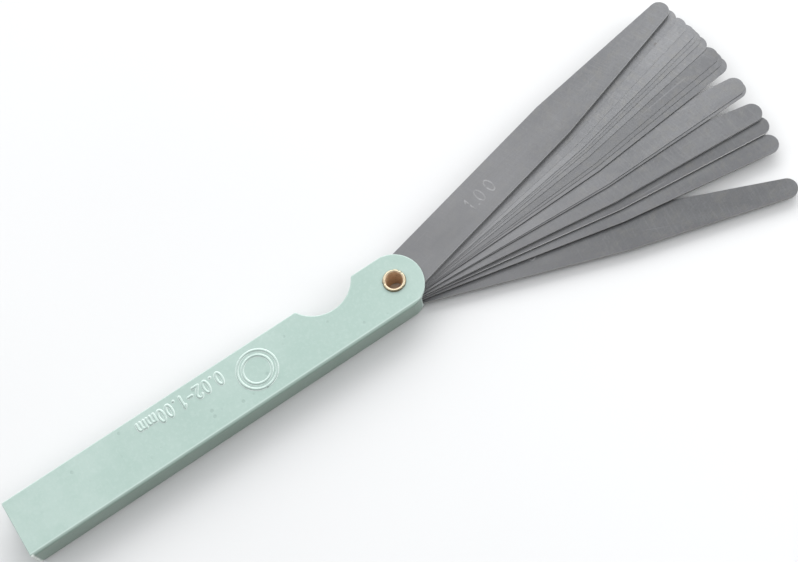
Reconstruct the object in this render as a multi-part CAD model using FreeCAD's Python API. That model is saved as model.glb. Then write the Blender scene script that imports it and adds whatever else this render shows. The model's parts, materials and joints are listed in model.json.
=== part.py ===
import FreeCAD, Part
import math
import os

from FreeCAD import Vector

# A feeler gauge: seventeen loose steel leaves that fan out of a folded sheet-steel case.
# They turn on a hollow brass rivet.
# The origin is on the rivet's axis, level with the underside of the case, and +Z is up.
# The case runs along -X, its spine is on the -Y side and its open edge on the +Y side.
# The leaves are fanned out towards +X. Lengths are in millimetres and angles in degrees.

# Leaves, from the top one down: gauge thickness, angle of the centre line from +X,
# and share of the slack above it.
# The thin leaves spring apart a little, so the slack in the stack isn't even.
LEAVES = [
    (1.00, 13.1, 2.0),
    (0.02, 11.7, 1.0),
    (0.03, 9.7, 0.5),
    (0.04, 8.1, 0.5),
    (0.05, 7.5, 2.0),
    (0.06, 6.8, 0.5),
    (0.07, 5.5, 1.0),
    (0.08, 3.1, 1.0),
    (0.09, 2.2, 0.5),
    (0.10, 1.1, 0.5),
    (0.15, -3.0, 6.0),
    (0.20, -3.5, 0.5),
    (0.25, -7.75, 3.0),
    (0.30, -7.8, 0.5),
    (0.40, -9.9, 2.0),
    (0.50, -12.9, 2.0),
    (0.75, -20.0, 6.0),
]
slack_below_last = 3.0       # share of the slack under the last leaf
leaf_length = 100.0          # rivet axis to the tip
leaf_width = 10.6
leaf_tip_radius = 2.55
leaf_taper_start = 57.0      # where the parallel root part ends
leaf_root_radius = leaf_width / 2

# Case
case_length = 103.8          # rivet axis to the square end
case_width = 15.0
case_height = 7.0
sheet = 0.9
spine_offset = 0.45          # the case's centre line lies this far from the rivet, on the spine side
bend_radius = 0.6            # outside of the fold
bend_inner = 0.3             # inside of the fold
corner_radius = 0.5          # corners of the cheeks at the square end
spine_end_radius = 0.6       # the spine's corner at the square end, seen from above
spine_end_bite = 0.05        # how far that corner's arc passes beyond the spine's plane
edge_radius = 0.25           # paint-softened outer edges
round_radius = 7.6           # the round end, a little over half the width so that it crosses the sides
round_setback = 0.7          # its centre lies this far behind the rivet
notch_radius = 8.9           # thumb notch in the open edge
notch_depth = 4.7
notch_centre_x = -15.7
notch_corner_radius = 0.7

# Rivet
shank_radius = 2.45
rivet_bore_radius = 2.05
rim_radius = 2.9             # outside of the rolled rim
rim_height = 0.55            # how far the rim stands above the cheek
pivot_clearance = 0.05       # between the shank and the holes of the leaves

# Worked out from the above
y_open = case_width / 2 - spine_offset
y_spine = -case_width / 2 - spine_offset
inner_height = case_height - 2 * sheet
slack_height = inner_height - sum(thickness for thickness, angle, share in LEAVES)
slack_unit = slack_height / (slack_below_last + sum(share for thickness, angle, share in LEAVES))
notch_centre_y = y_open - notch_depth + notch_radius
round_centre = Vector(-round_setback, -spine_offset, 0)
round_half_angle = math.degrees(math.asin(case_width / 2 / round_radius))


def at(x, y, z=0.0):
    return Vector(x, y, z)


def line(start, end):
    return Part.LineSegment(start, end).toShape()


def arc(start, middle, end):
    return Part.Arc(start, middle, end).toShape()


def prism(edges, height):
    """A closed outline made solid, upwards from the plane it lies in."""
    return Part.Face(Part.Wire(edges)).extrude(at(0, 0, height))


def on_circle(centre, radius, degrees):
    turn = math.radians(degrees)
    return centre + Vector(radius * math.cos(turn), radius * math.sin(turn), 0)


def channel():
    """The folded sheet as an endless U: two cheeks and the spine, with rounded folds."""
    length = case_length + 2 * case_width
    start = -case_length - case_width
    outer = Part.makeBox(length, 2 * case_width, case_height, at(start, y_spine, 0))
    inner = Part.makeBox(length, 2 * case_width, inner_height, at(start, y_spine + sheet, sheet))
    outer = outer.makeFillet(bend_radius, fold_edges(outer, y_spine))
    inner = inner.makeFillet(bend_inner, fold_edges(inner, y_spine + sheet))
    return outer.cut(inner)


def fold_edges(box, y):
    """The box's two long edges at this y."""
    return [edge for edge in box.Edges
            if abs(edge.CenterOfMass.y - y) < 1e-6 and abs(edge.tangentAt(edge.FirstParameter).x) > 0.5]


def plan_outline():
    """The case from above: square far end, straight sides and a round end.

    It passes beyond the spine's plane.
    """
    left = -case_length
    beyond = y_spine - sheet
    corner = at(left + corner_radius, y_open - corner_radius)
    heel = at(left + spine_end_radius, y_spine + spine_end_radius - spine_end_bite)
    heel_reach = math.degrees(math.acos(1 - spine_end_bite / spine_end_radius))
    heel_end = on_circle(heel, spine_end_radius, 270 - heel_reach)
    round_start = on_circle(round_centre, round_radius, round_half_angle)
    round_end = on_circle(round_centre, round_radius, -round_half_angle)
    return [
        line(at(heel_end.x, beyond), heel_end),
        arc(heel_end, on_circle(heel, spine_end_radius, 225 - heel_reach / 2), at(left, heel.y)),
        line(at(left, heel.y), at(left, corner.y)),
        arc(at(left, corner.y), on_circle(corner, corner_radius, 135), at(corner.x, y_open)),
        line(at(corner.x, y_open), round_start),
        arc(round_start, on_circle(round_centre, round_radius, 0), round_end),
        line(round_end, at(round_end.x, beyond)),
        line(at(round_end.x, beyond), at(heel_end.x, beyond)),
    ]


def is_upright(edge):
    box = edge.BoundBox
    return box.ZLength > 0.5 * sheet and box.XLength < 1e-6 and box.YLength < 1e-6


def notch_corners(shell):
    """The four short upright edges where the notch meets the open edge."""
    reach = math.sqrt(notch_radius ** 2 - (notch_centre_y - y_open) ** 2)
    return [edge for edge in shell.Edges
            if is_upright(edge)
            and abs(edge.CenterOfMass.y - y_open) < 1e-3
            and abs(abs(edge.CenterOfMass.x - notch_centre_x) - reach) < 1e-3]


def outer_edges(shell):
    """The outlines of both cheeks' outer faces, without the fold."""
    fold_line = y_spine + bend_radius
    found = []
    for edge in shell.Edges:
        box = edge.BoundBox
        on_face = box.ZLength < 1e-6 and (abs(box.ZMin) < 1e-6 or abs(box.ZMax - case_height) < 1e-6)
        on_fold = abs(box.YMin - fold_line) < 1e-3 and box.YLength < 1e-6
        if on_face and not on_fold:
            found.append(edge)
    return found


def case_shell():
    notch = Part.makeCylinder(notch_radius, case_height, at(notch_centre_x, notch_centre_y, 0))
    shell = channel().common(prism(plan_outline(), case_height)).cut(notch)
    shell = shell.makeFillet(notch_corner_radius, notch_corners(shell))
    shell = shell.makeFillet(edge_radius, outer_edges(shell))
    return shell.cut(Part.makeCylinder(shank_radius, case_height))


def pivot_rivet():
    """A tube with both ends rolled over the cheeks, turned from its half section."""
    rim_middle = (rivet_bore_radius + rim_radius) / 2
    low, high = -rim_height, case_height + rim_height
    section = [
        line(at(rivet_bore_radius, 0, 0), at(rivet_bore_radius, 0, case_height)),
        arc(at(rivet_bore_radius, 0, case_height),
            at(rim_middle, 0, high),
            at(rim_radius, 0, case_height)),
        line(at(rim_radius, 0, case_height), at(shank_radius, 0, case_height)),
        line(at(shank_radius, 0, case_height), at(shank_radius, 0, 0)),
        line(at(shank_radius, 0, 0), at(rim_radius, 0, 0)),
        arc(at(rim_radius, 0, 0),
            at(rim_middle, 0, low),
            at(rivet_bore_radius, 0, 0)),
    ]
    return Part.Face(Part.Wire(section)).revolve(at(0, 0), at(0, 0, 1), 360)


def leaf_outline():
    """A leaf along +X: round root, parallel sides, straight taper, round tip."""
    half = leaf_width / 2
    tip_centre = at(leaf_length - leaf_tip_radius, 0)
    reach = tip_centre.x - leaf_taper_start
    taper = math.degrees(math.atan2(half, reach) - math.asin(leaf_tip_radius / math.hypot(half, reach)))
    tip_top = on_circle(tip_centre, leaf_tip_radius, 90 - taper)
    tip_bottom = on_circle(tip_centre, leaf_tip_radius, taper - 90)
    return [
        arc(at(0, half), at(-leaf_root_radius, 0), at(0, -half)),
        line(at(0, -half), at(leaf_taper_start, -half)),
        line(at(leaf_taper_start, -half), tip_bottom),
        arc(tip_bottom, at(leaf_length, 0), tip_top),
        line(tip_top, at(leaf_taper_start, half)),
        line(at(leaf_taper_start, half), at(0, half)),
    ]


def leaf(thickness, angle, underside):
    blade = prism(leaf_outline(), thickness)
    blade = blade.cut(Part.makeCylinder(shank_radius + pivot_clearance, thickness))
    blade.translate(at(0, 0, underside))
    blade.rotate(at(0, 0), at(0, 0, 1), angle)
    return blade


def leaf_name(thickness):
    return "blade_" + f"{thickness:.2f}".replace(".", "_")


def build():
    parts = {"case_shell": case_shell(), "pivot_rivet": pivot_rivet()}
    top = case_height - sheet
    for thickness, angle, share in LEAVES:
        underside = top - share * slack_unit - thickness
        parts[leaf_name(thickness)] = leaf(thickness, angle, underside)
        top = underside
    return parts


os.makedirs("parts", exist_ok=True)
for name, shape in build().items():
    shape.exportStep(f"parts/{name}.step")
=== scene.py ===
import json
import math
import random

import bmesh
import bpy
import numpy as np
from mathutils import Matrix, Vector


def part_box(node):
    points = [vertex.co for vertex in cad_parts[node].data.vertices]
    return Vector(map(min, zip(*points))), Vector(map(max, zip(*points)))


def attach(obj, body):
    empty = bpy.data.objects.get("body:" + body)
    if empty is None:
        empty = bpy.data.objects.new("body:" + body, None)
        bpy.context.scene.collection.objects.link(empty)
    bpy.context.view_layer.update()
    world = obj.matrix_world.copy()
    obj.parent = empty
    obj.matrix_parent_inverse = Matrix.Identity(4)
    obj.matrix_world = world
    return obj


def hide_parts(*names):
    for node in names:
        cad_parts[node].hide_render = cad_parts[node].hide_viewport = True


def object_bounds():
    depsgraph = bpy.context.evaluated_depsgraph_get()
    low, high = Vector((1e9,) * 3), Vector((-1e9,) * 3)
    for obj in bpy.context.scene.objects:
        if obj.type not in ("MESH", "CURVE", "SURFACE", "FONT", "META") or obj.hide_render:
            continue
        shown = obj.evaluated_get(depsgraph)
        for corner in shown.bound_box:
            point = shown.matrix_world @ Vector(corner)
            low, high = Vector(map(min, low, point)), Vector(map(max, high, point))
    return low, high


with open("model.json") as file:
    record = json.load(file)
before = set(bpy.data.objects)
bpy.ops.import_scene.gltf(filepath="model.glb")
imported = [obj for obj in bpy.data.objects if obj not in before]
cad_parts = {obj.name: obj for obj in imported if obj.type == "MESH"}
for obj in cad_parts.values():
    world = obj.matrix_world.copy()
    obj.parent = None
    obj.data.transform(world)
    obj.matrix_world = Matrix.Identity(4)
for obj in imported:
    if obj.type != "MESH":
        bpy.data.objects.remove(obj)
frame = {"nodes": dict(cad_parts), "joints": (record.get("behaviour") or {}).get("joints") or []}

# A feeler gauge on a pale floor. The imported model gives the case, the rivet and seventeen leaves.
# This script adds their finishes, which hold some painted light and shade, the relief on the case, the
# numerals on the leaves and a rivet that shows wear.
# Lengths are in metres, except where a name ends in _mm, and angles are in degrees.

MM = 0.001
cad_low, cad_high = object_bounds()

# Camera: it looks at the rivet's axis from above, with the picture turned a little.
camera_azimuth = -21.35
camera_elevation = 68.99
camera_roll = -13.15
camera_distance = 0.333
camera_right = 0.000563
camera_up = 0.002392
camera_lens_mm = 62.15
sensor_width_mm = 36.0

# Relief on the case's upper cheek: a plain double ring and the range of the leaves, read from the round end.
range_start_mm = (-46.9, 3.5)
range_height_mm = 3.1
range_width_mm = 1.5
range_pitch_mm = {"digit": 2.15, ".": 1.45, "-": 2.15, "m": 2.65}
ring_centre_mm = (-38.4, 0.2)
ring_radii_mm = (3.5, 4.8)
relief_half_width_mm = 0.42
relief_height_mm = 0.24
relief_sink_mm = 0.006       # how far the ridge's foot lies under the paint
relief_backing_mm = 0.1      # how deep its closed back reaches
relief_grid_mm = 0.1

# Leaves
leaf_rim = 0.3 * MM          # width of the painted edge highlight
leaf_edge = 0.08 * MM        # widest softening of an edge
leaf_edge_share = 0.35       # and the most it may take of the thickness
weld_reach = 0.001 * MM      # points closer than this are one

# Numerals on the leaves, in a leaf's own frame: +X runs to its tip.
numeral_start_mm = 26.5
numeral_height_mm = 3.4
numeral_width_mm = 1.9
numeral_pitch_mm = {"digit": 3.5, ".": 0.0}
numeral_half_width_mm = 0.18
numeral_burr_mm = 0.009
numeral_floor_mm = 0.004
numeral_sink_mm = 0.001
numeral_backing_mm = 0.004
numeral_grid_mm = 0.05
burr_middle = 0.62           # the burr's crown, as a share of the half width
burr_spread = 0.30
burr_foot = 0.12

# Eyelet, in place of the plain rivet
eyelet_bore_mm = 2.05
eyelet_shank_mm = 2.42
eyelet_facets = 144
roll_steps = 12
tube_steps = 10
split_count = 6
split_bite_mm = 0.5          # how far a full split cuts the rim back
rim_waver_mm = 0.06          # how uneven the rim is

# Studio: a softbox has a place, a size and its watts.
KEY_SOFTBOX = ((0.40, 0.58, 0.50), (0.8, 0.5), 4.8)
SIDE_SOFTBOX = ((0.46, -0.24, 0.30), (0.3, 0.3), 0.9)
floor_half_size = 3.0

# The sky's light: a direction, where the fade starts and ends, and the strength at both ends.
SKY_BEHIND = ((0.15, 0.62, 0.77), -0.10, 0.75, 0.10, 1.92)
SKY_OVERHEAD = ((0.08, 0.22, 0.97), 0.72, 0.95, 1.0, 0.35)


# ---------------------------------------------------------------- node trees

class Tree:
    """A material's node tree, with short calls to add nodes and join them."""

    def __init__(self, name):
        self.material = bpy.data.materials.new(name)
        self.material.use_nodes = True
        self.nodes = self.material.node_tree.nodes
        self.links = self.material.node_tree.links
        self.shader = self.nodes["Principled BSDF"]

    def feed(self, socket, value):
        if isinstance(value, bpy.types.NodeSocket):
            self.links.new(value, socket)
        else:
            socket.default_value = value

    def node(self, kind, inputs=None, **settings):
        made = self.nodes.new(kind)
        for key, value in settings.items():
            setattr(made, key, value)
        for key, value in (inputs or {}).items():
            self.feed(made.inputs[key], value)
        return made

    def shade(self, **inputs):
        for key, value in inputs.items():
            self.feed(self.shader.inputs[key.replace("_", " ")], value)

    def place(self, turn=0.0):
        """The piece's own coordinates, turned about Z by -turn degrees."""
        return self.slant(self.node("ShaderNodeTexCoord").outputs["Object"], -turn)

    def stretch(self, where, scale):
        return self.node("ShaderNodeVectorMath", {0: where, 1: scale}, operation="MULTIPLY").outputs[0]

    def noise(self, where, scale, detail=3.0, roughness=0.55):
        made = self.node("ShaderNodeTexNoise", {
            "Vector": where, "Scale": scale, "Detail": detail, "Roughness": roughness})
        return made.outputs["Fac"]

    def marks(self, where, scales, detail=3.0, roughness=0.55):
        """Noise with its own scale along each axis, so that it is drawn out along the smallest."""
        return self.noise(self.stretch(where, scales), 1.0, detail, roughness)

    def cells(self, where, scale):
        return self.node("ShaderNodeTexVoronoi", {"Vector": where, "Scale": scale}).outputs["Distance"]

    def ramp(self, factor, low, high, start=0.0, end=1.0):
        """Goes smoothly from start to end as factor goes from low to high."""
        made = self.node("ShaderNodeMapRange", {
            "Value": factor, "From Min": low, "From Max": high, "To Min": start, "To Max": end},
            interpolation_type="SMOOTHSTEP")
        return made.outputs["Result"]

    def maths(self, operation, first, second=0.0):
        return self.node("ShaderNodeMath", {0: first, 1: second}, operation=operation).outputs[0]

    def times(self, first, second):
        return self.maths("MULTIPLY", first, second)

    def plus(self, first, second):
        return self.maths("ADD", first, second)

    def mix(self, factor, first, second):
        made = self.node("ShaderNodeMix", data_type="RGBA")
        colours = [socket for socket in made.inputs if socket.type == "RGBA"]
        self.feed(made.inputs["Factor"], factor)
        self.feed(colours[0], first)
        self.feed(colours[1], second)
        return [socket for socket in made.outputs if socket.type == "RGBA"][0]

    def bump(self, height, depth):
        """A bump as deep as depth where height goes from 0 to 1."""
        made = self.node("ShaderNodeBump", {"Height": height, "Distance": depth, "Strength": 1.0})
        return made.outputs["Normal"]

    def slant(self, where, turn):
        """The same coordinates turned about Z."""
        made = self.node("ShaderNodeMapping", {"Vector": where, "Rotation": (0.0, 0.0, math.radians(turn))})
        return made.outputs["Vector"]

    def from_axis(self, where):
        """How far a point is from the Z axis."""
        flat = self.stretch(where, (1.0, 1.0, 0.0))
        return self.node("ShaderNodeVectorMath", {0: flat}, operation="LENGTH").outputs["Value"]

    def sides(self):
        """1 on upright faces, 0 on level ones."""
        true = self.node("ShaderNodeNewGeometry").outputs["Normal"]
        level = self.maths("ABSOLUTE", self.node("ShaderNodeSeparateXYZ", {"Vector": true}).outputs["Z"])
        return self.ramp(level, 0.25, 0.85, 1.0, 0.0)

    def edges(self, radius):
        """1 on edges sharper than the radius, 0 on flat faces."""
        rounded = self.node("ShaderNodeBevel", {"Radius": radius}, samples=6).outputs["Normal"]
        true = self.node("ShaderNodeNewGeometry").outputs["Normal"]
        same = self.node("ShaderNodeVectorMath", {0: rounded, 1: true}, operation="DOT_PRODUCT")
        return self.ramp(same.outputs["Value"], 0.995, 0.86)


def rgb(red, green, blue):
    return (red, green, blue, 1.0)


# ---------------------------------------------------------------- materials

def enamel():
    """Pale green stove enamel on sheet steel: clouded, dimpled and chipped at the edges, with painted
    highlight along the edges, by the fold and at the spine's end, and painted shade beside the fold and on
    the spine.
    """
    tree = Tree("green_enamel")
    where = tree.place()
    broad = tree.noise(where, 28.0, detail=2.0)
    cloud = tree.noise(where, 210.0, detail=4.0)
    grain = tree.noise(where, 1500.0, detail=2.0)
    pits = tree.ramp(tree.cells(where, 330.0), 0.10, 0.19, 1.0, 0.0)
    rare = tree.ramp(tree.noise(where, 140.0), 0.50, 0.60)
    pits = tree.times(pits, rare)
    parts = tree.node("ShaderNodeSeparateXYZ", {"Vector": where})
    across = parts.outputs["Y"]
    end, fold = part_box("case_shell")[0].xy
    beside_fold = tree.ramp(across, fold + 0.5 * MM, fold + 1.2 * MM)
    fold_shade = tree.ramp(across, fold + 0.62 * MM, fold + 0.80 * MM, 1.0, 0.0)
    fold_highlight = tree.times(tree.ramp(across, fold + 0.68 * MM, fold + 0.82 * MM),
                          tree.ramp(across, fold + 0.98 * MM, fold + 1.18 * MM, 1.0, 0.0))
    spine_shade = tree.ramp(across, fold + 0.10 * MM, fold + 0.40 * MM, 1.0, 0.0)
    spine_end = tree.times(tree.ramp(across, fold + 0.3 * MM, fold + 0.6 * MM, 1.0, 0.0),
                           tree.ramp(parts.outputs["X"], end + 0.55 * MM, end + 1.1 * MM, 1.0, 0.0))
    edge = tree.times(tree.edges(0.5 * MM), beside_fold)

    body = tree.mix(tree.ramp(broad, 0.35, 0.65), rgb(0.360, 0.468, 0.424), rgb(0.404, 0.508, 0.466))
    body = tree.mix(tree.ramp(cloud, 0.35, 0.70, 0.0, 0.45), body, rgb(0.340, 0.455, 0.408))
    body = tree.mix(tree.ramp(grain, 0.45, 0.75, 0.0, 0.20), body, rgb(0.50, 0.59, 0.555))
    # Painted shade: a darker strip just inside the fold, where the top turns down to the spine.
    body = tree.mix(tree.times(fold_shade, 0.62), body, rgb(0.235, 0.300, 0.262))
    # Painted shade: the spine and the bottom of the fold are darker, as on the side turned from the light.
    body = tree.mix(tree.times(spine_shade, 0.42), body, rgb(0.200, 0.275, 0.222))
    # Painted highlight: a light hairline just inside the darker strip by the fold.
    body = tree.mix(tree.times(fold_highlight, 0.60), body, rgb(0.52, 0.62, 0.58))
    body = tree.mix(tree.times(pits, 0.35), body, rgb(0.24, 0.32, 0.29))
    # Painted highlight: a lighter rim along the case's edges, broken up by noise.
    edge_highlight = tree.times(edge, tree.ramp(tree.noise(where, 420.0, detail=5.0), 0.30, 0.60, 0.45, 0.95))
    body = tree.mix(edge_highlight, body, rgb(0.72, 0.79, 0.76))
    # Painted highlight: the spine's square end is lighter, broken up by noise.
    highlight_amount = tree.ramp(tree.noise(where, 2400.0, detail=4.0), 0.34, 0.50, 0.35, 1.0)
    body = tree.mix(tree.times(spine_end, highlight_amount), body, rgb(0.84, 0.88, 0.84))
    chipped = tree.times(edge, tree.ramp(tree.noise(where, 900.0, detail=6.0, roughness=0.7), 0.62, 0.67))
    body = tree.mix(tree.times(chipped, 0.8), body, rgb(0.16, 0.16, 0.155))

    height = tree.plus(tree.times(grain, 0.5), tree.times(cloud, 1.2))
    height = tree.plus(height, tree.times(beside_fold, 1.6))
    height = tree.plus(height, tree.times(pits, -0.9))
    height = tree.plus(height, tree.times(chipped, -0.8))
    smear = tree.ramp(tree.noise(where, 90.0, detail=5.0), 0.35, 0.70, 0.30, 0.44)
    tree.shade(
        Base_Color=body,
        Roughness=tree.plus(smear, tree.times(chipped, 0.25)),
        Normal=tree.bump(height, 0.03 * MM),
        Specular_IOR_Level=0.25,
        Coat_Weight=0.08,
        Coat_Roughness=0.22)
    return tree.material


def spring_steel(name, turn, seed, tone, highlight_amount):
    """Hardened steel with a flat grind: fine marks across and along the leaf, scratches, and matt sheared
    sides whose lighter colour is painted highlight; a painted highlight along the edges and painted light
    near the root.
    """
    tree = Tree(name)
    draw = random.Random(seed)
    shift = (draw.uniform(-9, 9), draw.uniform(-9, 9), draw.uniform(-9, 9))
    apart = tree.node("ShaderNodeVectorMath", {0: tree.place(turn), 1: shift}, operation="ADD").outputs[0]
    grind = tree.marks(apart, (90.0, 3600.0, 900.0), detail=4.0, roughness=0.65)
    streak = tree.marks(apart, (24.0, 520.0, 200.0))
    hatched = tree.slant(apart, draw.uniform(74, 86))
    hatch = tree.marks(hatched, (300.0, 2900.0, 500.0), detail=2.0)
    crossed = tree.slant(apart, draw.uniform(-40, -28))
    cross = tree.marks(crossed, (500.0, 3300.0, 500.0), detail=2.0)
    cloud = tree.marks(apart, (42.0, 120.0, 60.0))
    speckle = tree.noise(apart, 2300.0, detail=2.0, roughness=0.7)
    mottle = tree.noise(apart, 480.0)
    scratched = tree.slant(apart, draw.uniform(-14, 14))
    scratch = tree.marks(scratched, (30.0, 1500.0, 300.0), detail=1.0)
    scratch = tree.ramp(scratch, 0.71, 0.77)
    spots = tree.ramp(tree.cells(apart, 170.0), 0.05, 0.10, 1.0, 0.0)
    spots = tree.times(spots, tree.ramp(tree.noise(apart, 60.0), 0.57, 0.62))
    side = tree.sides()
    rim = tree.times(tree.edges(leaf_rim), highlight_amount)
    root_light = tree.ramp(tree.from_axis(tree.place()), 18 * MM, 75 * MM, 0.55, 0.0)

    dark = rgb(0.140 * tone, 0.142 * tone, 0.147 * tone)
    light = rgb(0.163 * tone, 0.165 * tone, 0.170 * tone)
    warm = rgb(0.170 * tone, 0.168 * tone, 0.161 * tone)
    # The ground marks' colour, also used for the painted light near the root.
    ground_and_root_light = rgb(0.232 * tone, 0.232 * tone, 0.237 * tone)
    dull = rgb(0.112 * tone, 0.112 * tone, 0.114 * tone)
    body = tree.mix(tree.ramp(cloud, 0.35, 0.65), dark, light)
    body = tree.mix(tree.ramp(streak, 0.42, 0.68, 0.0, 0.35), body, dark)
    body = tree.mix(tree.ramp(mottle, 0.45, 0.70, 0.0, 0.5), body, warm)
    body = tree.mix(tree.ramp(hatch, 0.48, 0.76, 0.0, 0.26), body, ground_and_root_light)
    body = tree.mix(tree.ramp(cross, 0.52, 0.76, 0.0, 0.20), body, ground_and_root_light)
    body = tree.mix(tree.ramp(speckle, 0.50, 0.72, 0.0, 0.42), body, dull)
    body = tree.mix(tree.times(scratch, 0.18), body, rgb(0.34, 0.34, 0.35))
    body = tree.mix(tree.times(spots, 0.40), body, rgb(0.11, 0.095, 0.08))
    # Painted light: the leaf turns lighter towards the root, to offset the shade between the stacked leaves
    # there.
    body = tree.mix(root_light, body, ground_and_root_light)
    # Painted highlight: a light line along the leaf's edges.
    body = tree.mix(rim, body, rgb(0.55, 0.55, 0.55))
    # The upright sides are matt sheared steel; their lighter colour is painted highlight.
    body = tree.mix(side, body, rgb(0.34, 0.34, 0.335))

    height = tree.plus(grind, tree.times(hatch, 0.3))
    height = tree.plus(height, tree.times(scratch, -0.7))
    gloss = tree.ramp(tree.plus(tree.times(grind, 0.6), tree.times(cloud, 0.4)), 0.35, 0.65, 0.42, 0.54)
    tree.shade(
        Base_Color=body,
        Metallic=tree.ramp(side, 0.0, 1.0, 1.0, 0.75),
        Roughness=tree.plus(gloss, tree.times(side, 0.2)),
        Normal=tree.bump(height, 0.004 * MM))
    return tree.material


def frosted_steel():
    """The matt, slightly raised metal round a stamped numeral."""
    tree = Tree("frosted_steel")
    where = tree.place()
    frost = tree.noise(where, 6000.0, detail=3.0)
    patch = tree.noise(where, 900.0, detail=3.0)
    body = tree.mix(tree.ramp(patch, 0.3, 0.7), rgb(0.20, 0.20, 0.203), rgb(0.29, 0.29, 0.294))
    body = tree.mix(tree.ramp(frost, 0.5, 0.8, 0.0, 0.5), body, rgb(0.16, 0.158, 0.152))
    tree.shade(
        Base_Color=body,
        Metallic=0.85,
        Roughness=tree.ramp(frost, 0.3, 0.7, 0.42, 0.62),
        Normal=tree.bump(frost, 0.006 * MM))
    return tree.material


def brass():
    """A drawn brass eyelet: bright where handling has polished it, brown inside with a lighter colour as
    painted light in the bore's shade, and painted shade at the rim's outer foot.
    """
    tree = Tree("rivet_brass")
    where = tree.place()
    drawn = tree.marks(where, (2600.0, 2600.0, 260.0))
    cloud = tree.noise(where, 700.0, detail=4.0)
    reach = tree.from_axis(where)
    inside = tree.ramp(reach, 2.16 * MM, 2.30 * MM, 1.0, 0.0)
    bright = tree.mix(tree.ramp(cloud, 0.35, 0.65), rgb(0.50, 0.43, 0.30), rgb(0.60, 0.53, 0.39))
    brown = tree.mix(tree.ramp(cloud, 0.35, 0.65), rgb(0.74, 0.56, 0.39), rgb(0.86, 0.69, 0.51))
    # The bore's brown is lighter than the outside brass: painted light, lifting the shade inside the bore.
    body = tree.mix(inside, bright, brown)
    foot = tree.ramp(reach, 2.62 * MM, 2.84 * MM, 0.0, 0.85)
    # Painted shade: darker brown at the rim's outer foot, where it meets the paint.
    body = tree.mix(foot, body, rgb(0.20, 0.135, 0.075))
    tarnish = tree.ramp(tree.noise(where, 1300.0, detail=5.0), 0.52, 0.70, 0.0, 0.55)
    body = tree.mix(tarnish, body, rgb(0.40, 0.30, 0.17))
    gloss = tree.plus(tree.ramp(cloud, 0.3, 0.7, 0.34, 0.48), tree.times(inside, 0.15))
    tree.shade(
        Base_Color=body,
        Metallic=tree.ramp(inside, 0.0, 1.0, 0.95, 0.60),
        Roughness=gloss,
        Normal=tree.bump(drawn, 0.02 * MM))
    return tree.material


def floor_paper():
    """Plain pale paper."""
    tree = Tree("floor_paper")
    where = tree.place()
    fibre = tree.noise(where, 900.0, detail=4.0)
    cloud = tree.noise(where, 6.0, detail=2.0)
    body = tree.mix(tree.ramp(cloud, 0.3, 0.7), rgb(0.68, 0.68, 0.68), rgb(0.70, 0.70, 0.70))
    tree.shade(
        Base_Color=body,
        Roughness=tree.ramp(fibre, 0.3, 0.7, 0.80, 0.90),
        Normal=tree.bump(fibre, 0.01 * MM))
    return tree.material


# ---------------------------------------------------------------- strokes and relief

def bow(centre, radii, first, last, steps=18):
    """Points on an ellipse from the first angle to the last."""
    turns = [math.radians(first + (last - first) * step / steps) for step in range(steps + 1)]
    return [(centre[0] + radii[0] * math.cos(turn), centre[1] + radii[1] * math.sin(turn)) for turn in turns]


def turned(strokes):
    """The strokes turned half round in a box from -0.5 to 0.5 across and 0 to 1 up."""
    return [[(-x, 1.0 - y) for x, y in stroke] for stroke in strokes]


SIX = [bow((0.0, 0.29), (0.46, 0.29), 0, 360, 28), bow((0.30, 0.29), (0.76, 0.71), 180, 98)]

GLYPHS = {
    "0": [bow((0.0, 0.5), (0.44, 0.5), 0, 360, 32)],
    "1": [[(0.06, 0.0), (0.06, 1.0), (-0.22, 0.80)]],
    "2": [bow((0.0, 0.71), (0.42, 0.29), 165, -32) + [(-0.45, 0.0), (0.47, 0.0)]],
    "3": [bow((-0.03, 0.75), (0.38, 0.25), 150, -90), bow((-0.03, 0.26), (0.46, 0.26), 90, -150)],
    "4": [[(0.22, 0.0), (0.22, 1.0), (-0.46, 0.30), (0.47, 0.30)]],
    "5": [[(0.38, 1.0), (-0.34, 1.0), (-0.38, 0.52)] + bow((-0.02, 0.32), (0.46, 0.32), 135, -150)],
    "6": SIX,
    "7": [[(-0.44, 1.0), (0.45, 1.0), (-0.12, 0.0)]],
    "8": [bow((0.0, 0.76), (0.36, 0.24), 0, 360, 28), bow((0.0, 0.27), (0.45, 0.27), 0, 360, 28)],
    "9": turned(SIX),
    ".": [[(-0.03, 0.03), (0.03, 0.03)]],
    "-": [[(-0.34, 0.46), (0.34, 0.46)]],
    "m": [[(-0.62, 0.0), (-0.62, 0.62)],
          bow((-0.31, 0.40), (0.31, 0.22), 180, 0) + [(0.0, 0.0)],
          bow((0.31, 0.40), (0.31, 0.22), 180, 0) + [(0.62, 0.0)]],
}


def pitch_of(letter, pitch):
    return pitch.get(letter, pitch["digit"])


def write(text, width, height, pitch):
    """The strokes of a line of text. The first letter's middle is at 0, 0."""
    strokes = []
    x = 0.0
    for index, letter in enumerate(text):
        if index:
            x += (pitch_of(text[index - 1], pitch) + pitch_of(letter, pitch)) / 2
        for stroke in GLYPHS[letter]:
            strokes.append([(x + px * width, (py - 0.5) * height) for px, py in stroke])
    return strokes


def distance_to(strokes, x, y):
    """How far each point of a grid is from the nearest stroke."""
    nearest = np.full(x.shape, np.inf)
    for stroke in strokes:
        for (ax, ay), (bx, by) in zip(stroke, stroke[1:]):
            length = (bx - ax) ** 2 + (by - ay) ** 2
            share = np.clip(((x - ax) * (bx - ax) + (y - ay) * (by - ay)) / length, 0.0, 1.0)
            nearest = np.minimum(nearest, np.hypot(x - ax - share * (bx - ax), y - ay - share * (by - ay)))
    return nearest


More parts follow.
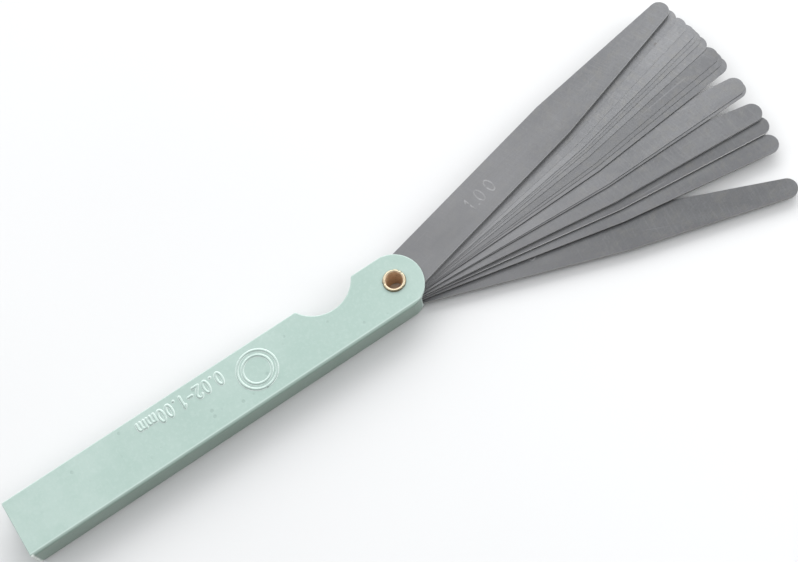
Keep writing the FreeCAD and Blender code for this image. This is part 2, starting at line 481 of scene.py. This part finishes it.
def relief(name, strokes, profile, half_width, grid, depth):
    """A closed skin over the strokes: profile gives its height by the distance from them, in millimetres."""
    points = np.array([point for stroke in strokes for point in stroke])
    low = points.min(0) - half_width - grid
    high = points.max(0) + half_width + grid
    across = np.arange(low[0], high[0] + grid, grid)
    upward = np.arange(low[1], high[1] + grid, grid)
    x, y = np.meshgrid(across, upward, indexing="ij")
    away = distance_to(strokes, x, y)
    height = profile(away)
    near = away < half_width
    shape = bmesh.new()
    made = {}

    def corner(i, j):
        if (i, j) not in made:
            made[i, j] = shape.verts.new((x[i, j] * MM, y[i, j] * MM, height[i, j] * MM))
        return made[i, j]

    for i in range(len(across) - 1):
        for j in range(len(upward) - 1):
            if near[i, j] or near[i + 1, j] or near[i, j + 1] or near[i + 1, j + 1]:
                shape.faces.new([corner(i, j), corner(i + 1, j), corner(i + 1, j + 1), corner(i, j + 1)])
    skin = list(shape.faces)
    backing = bmesh.ops.extrude_face_region(shape, geom=skin, use_keep_orig=True)["geom"]
    for vertex in backing:
        if isinstance(vertex, bmesh.types.BMVert):
            vertex.co.z = -depth * MM
    bmesh.ops.recalc_face_normals(shape, faces=shape.faces)
    return finished(name, shape)


def finished(name, shape):
    """Turns a bmesh into a smooth object of the scene."""
    mesh = bpy.data.meshes.new(name)
    shape.to_mesh(mesh)
    shape.free()
    for face in mesh.polygons:
        face.use_smooth = True
    made = bpy.data.objects.new(name, mesh)
    bpy.context.scene.collection.objects.link(made)
    return made


def put(piece, body, material, x_mm, y_mm, z, turn):
    """Turns a flat piece about Z, moves it into place in its own mesh and lets it ride on a body."""
    swing = Matrix.Rotation(math.radians(turn), 4, "Z")
    piece.data.transform(Matrix.Translation((x_mm * MM, y_mm * MM, z)) @ swing)
    piece.data.materials.append(material)
    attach(piece, body)
    return piece


def soft_ridge(away):
    """The case's relief: a ridge with round shoulders, sunk a little at its foot."""
    share = np.clip(away / relief_half_width_mm, 0.0, 1.0)
    return relief_height_mm * (0.5 + 0.5 * np.cos(math.pi * share)) - relief_sink_mm


def stamped_line(away):
    """A leaf's numeral: a flat floor between two fine burrs."""
    share = np.clip(away / numeral_half_width_mm, 0.0, 1.0)
    burr = np.clip(1.0 - np.abs(share - burr_middle) / burr_spread, 0.0, 1.0)
    foot = np.clip((1.0 - share) / burr_foot, 0.0, 1.0)
    return (numeral_floor_mm + numeral_burr_mm * burr ** 2) * foot - numeral_sink_mm


# ---------------------------------------------------------------- pieces

def gauge_of(node):
    """A leaf's thickness as it is stamped on it, such as 0.25."""
    return node.removeprefix("blade_").replace("_", ".")


def add_case_relief(paint):
    """The range and the double ring, raised on the upper cheek."""
    shape = (soft_ridge, relief_half_width_mm, relief_grid_mm, relief_backing_mm)
    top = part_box("case_shell")[1].z
    gauges = sorted(gauge_of(joint["child"]) for joint in frame["joints"])
    words = write(f"{gauges[0]}-{gauges[-1]}mm", range_width_mm, range_height_mm, range_pitch_mm)
    line = relief("range_relief", words, *shape)
    put(line, "case", paint, range_start_mm[0], range_start_mm[1], top, 180.0)
    for index, radius in enumerate(ring_radii_mm):
        circle = [bow((0.0, 0.0), (radius, radius), 0, 360, 72)]
        ring = relief(f"ring_relief_{index + 1}", circle, *shape)
        put(ring, "case", paint, ring_centre_mm[0], ring_centre_mm[1], top, 0.0)


def add_rivet(metal):
    """The rivet as an eyelet that shows wear: a drawn tube whose rolled ends are split and a little uneven.
    """
    low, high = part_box("pivot_rivet")
    draw = random.Random(11)
    bore = eyelet_bore_mm * MM
    shank = eyelet_shank_mm * MM
    rim = high.x
    face_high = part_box("case_shell")[1].z
    face_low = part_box("case_shell")[0].z
    splits = [(draw.uniform(0, 360), draw.uniform(2.0, 3.6), draw.uniform(0.25, 0.6))
              for _ in range(split_count)]
    waves = [(count, draw.uniform(0, math.tau), draw.uniform(0.2, 1.0)) for count in (2, 3, 5, 9, 14)]

    def wave(turn):
        return sum(size * math.sin(count * turn + phase) for count, phase, size in waves) / len(waves)

    def split(turn):
        deepest = 0.0
        for middle, half, depth in splits:
            gap = abs((math.degrees(turn) - middle + 180) % 360 - 180)
            deepest = max(deepest, depth * max(0.0, 1 - gap / half))
        return deepest

    def rolled(end, face, outward, turn):
        """The half ring from the bore round to the cheek. end is the height of its crown."""
        reach = rim - rim_waver_mm * MM * (1 + wave(turn)) - split_bite_mm * MM * split(turn)
        crown = abs(end - face) * (0.93 + 0.05 * wave(turn + 1.0)) * (1 - 0.5 * split(turn))
        points = []
        for step in range(roll_steps + 1):
            swing = math.pi * step / roll_steps
            middle = (bore + reach) / 2
            points.append((middle - (reach - bore) / 2 * math.cos(swing),
                           face + outward * crown * math.sin(swing)))
        return points

    shape = bmesh.new()
    loops = []
    for index in range(eyelet_facets):
        turn = math.tau * index / eyelet_facets
        upper = rolled(high.z, face_high, 1, turn)
        lower = rolled(low.z, face_low, -1, turn)
        tube = [(bore, face_low + (face_high - face_low) * step / tube_steps)
                for step in range(1, tube_steps)]
        profile = tube + upper + [(shank, face_high), (shank, face_low)] + lower[::-1]
        loops.append([shape.verts.new((r * math.cos(turn), r * math.sin(turn), z)) for r, z in profile])
    for index in range(eyelet_facets):
        this = loops[index]
        after = loops[(index + 1) % eyelet_facets]
        for step in range(len(this)):
            follow = (step + 1) % len(this)
            shape.faces.new([this[step], after[step], after[follow], this[follow]])
    bmesh.ops.recalc_face_normals(shape, faces=shape.faces)
    eyelet = finished("rivet_eyelet", shape)
    eyelet.data.materials.append(metal)
    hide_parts("pivot_rivet")
    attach(eyelet, "case")


def leaf_angle(joint):
    """The rest angle of a leaf, from the limit at which every leaf lies folded into the case."""
    return 180.0 - joint["range_deg"][1]


def finish_leaf(node, turn, seed, tone, highlight_amount, frost):
    """Ground steel and softened edges on a leaf, and its thickness stamped near the root."""
    leaf = frame["nodes"][node]
    low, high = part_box(node)
    thickness = high.z - low.z
    weld = leaf.modifiers.new("weld", "WELD")
    weld.merge_threshold = weld_reach
    soften = leaf.modifiers.new("soften", "BEVEL")
    soften.width = min(leaf_edge, leaf_edge_share * thickness)
    soften.segments = 2
    soften.limit_method = "ANGLE"
    leaf.data.materials.clear()
    leaf.data.materials.append(spring_steel(f"steel_{node}", turn, seed, tone, highlight_amount))
    words = write(gauge_of(node), numeral_width_mm, numeral_height_mm, numeral_pitch_mm)
    marks = relief(
        f"numeral_{node}", words, stamped_line, numeral_half_width_mm, numeral_grid_mm, numeral_backing_mm)
    swing = math.radians(turn)
    put(marks, node, frost,
        numeral_start_mm * math.cos(swing), numeral_start_mm * math.sin(swing), high.z, turn)


def add_floor(paper):
    """A plain floor, level with the rivet's lower rim."""
    shape = bmesh.new()
    bmesh.ops.create_grid(shape, x_segments=4, y_segments=4, size=floor_half_size)
    floor = finished("floor", shape)
    floor.location.z = cad_low.z
    floor.data.materials.append(paper)


def aim(thing, target):
    """Turns a light so that it shines at the target."""
    thing.rotation_euler = (Vector(target) - thing.location).to_track_quat("-Z", "Y").to_euler()


def add_softbox(name, place, size, watts):
    """A white softbox aimed at the rivet."""
    lamp = bpy.data.lights.new(name, "AREA")
    lamp.shape = "RECTANGLE"
    lamp.size, lamp.size_y = size
    lamp.energy = watts
    box = bpy.data.objects.new(name, lamp)
    box.location = place
    bpy.context.scene.collection.objects.link(box)
    aim(box, (0.0, 0.0, 0.0))


def add_lights():
    add_softbox("key_softbox", *KEY_SOFTBOX)
    add_softbox("side_softbox", *SIDE_SOFTBOX)
    add_studio_sky()


def add_studio_sky():
    """A broad soft light: bright behind the object, dark in front of it and dimmer straight overhead."""
    world = bpy.data.worlds.new("studio")
    world.use_nodes = True
    nodes = world.node_tree.nodes
    links = world.node_tree.links
    way = nodes.new("ShaderNodeTexCoord").outputs["Generated"]

    def fade(direction, low, high, start, end):
        lean = nodes.new("ShaderNodeVectorMath")
        lean.operation = "DOT_PRODUCT"
        lean.inputs[1].default_value = direction
        links.new(way, lean.inputs[0])
        made = nodes.new("ShaderNodeMapRange")
        made.interpolation_type = "SMOOTHSTEP"
        for name, value in (("From Min", low), ("From Max", high), ("To Min", start), ("To Max", end)):
            made.inputs[name].default_value = value
        links.new(lean.outputs["Value"], made.inputs["Value"])
        return made.outputs["Result"]

    both = nodes.new("ShaderNodeMath")
    both.operation = "MULTIPLY"
    links.new(fade(*SKY_BEHIND), both.inputs[0])
    links.new(fade(*SKY_OVERHEAD), both.inputs[1])
    backdrop = nodes["Background"]
    backdrop.inputs["Color"].default_value = rgb(0.97, 0.985, 1.0)
    links.new(both.outputs[0], backdrop.inputs["Strength"])
    bpy.context.scene.world = world


def add_camera():
    """The camera of the picture, turned about the rivet's axis and then moved a little sideways."""
    azimuth = math.radians(camera_azimuth)
    elevation = math.radians(camera_elevation)
    roll = math.radians(camera_roll)
    back = Vector((math.sin(azimuth) * math.cos(elevation),
                   -math.cos(azimuth) * math.cos(elevation),
                   math.sin(elevation)))
    level = Vector((math.cos(azimuth), math.sin(azimuth), 0.0))
    upright = back.cross(level)
    right = math.cos(roll) * level + math.sin(roll) * upright
    up = math.cos(roll) * upright - math.sin(roll) * level
    place = back * camera_distance + right * camera_right + up * camera_up
    lens = bpy.data.cameras.new("camera")
    lens.sensor_width = sensor_width_mm
    lens.lens = camera_lens_mm
    lens.clip_start = 0.01
    camera = bpy.data.objects.new("camera", lens)
    turn = Matrix((right, up, back)).transposed().to_4x4()
    camera.matrix_world = Matrix.Translation(place) @ turn
    bpy.context.scene.collection.objects.link(camera)
    bpy.context.scene.camera = camera


# How light each leaf's surface is against the others.
LEAF_TONES = {
    "blade_1_00": 1.00, "blade_0_02": 1.18, "blade_0_03": 1.25, "blade_0_04": 1.25, "blade_0_05": 1.16,
    "blade_0_06": 1.15, "blade_0_07": 1.12, "blade_0_08": 0.98, "blade_0_09": 1.00, "blade_0_10": 1.05,
    "blade_0_15": 1.12, "blade_0_20": 1.12, "blade_0_25": 1.02, "blade_0_30": 1.05, "blade_0_40": 0.88,
    "blade_0_50": 0.98, "blade_0_75": 0.90,
}

# How strong the painted highlight on a leaf's edges is. The thin leaves' edges are too fine to show it.
EDGE_HIGHLIGHTS = {
    "blade_1_00": 0.25, "blade_0_15": 0.10, "blade_0_30": 0.90, "blade_0_40": 0.90, "blade_0_50": 0.20,
    "blade_0_75": 0.15,
}

bpy.context.scene.view_settings.view_transform = "Standard"
paint = enamel()
frost = frosted_steel()
frame["nodes"]["case_shell"].data.materials.clear()
frame["nodes"]["case_shell"].data.materials.append(paint)
add_case_relief(paint)
add_rivet(brass())
for seed, joint in enumerate(frame["joints"]):
    node = joint["child"]
    finish_leaf(node, leaf_angle(joint), seed, LEAF_TONES[node], EDGE_HIGHLIGHTS.get(node, 0.0), frost)
add_floor(floor_paper())
add_lights()
add_camera()
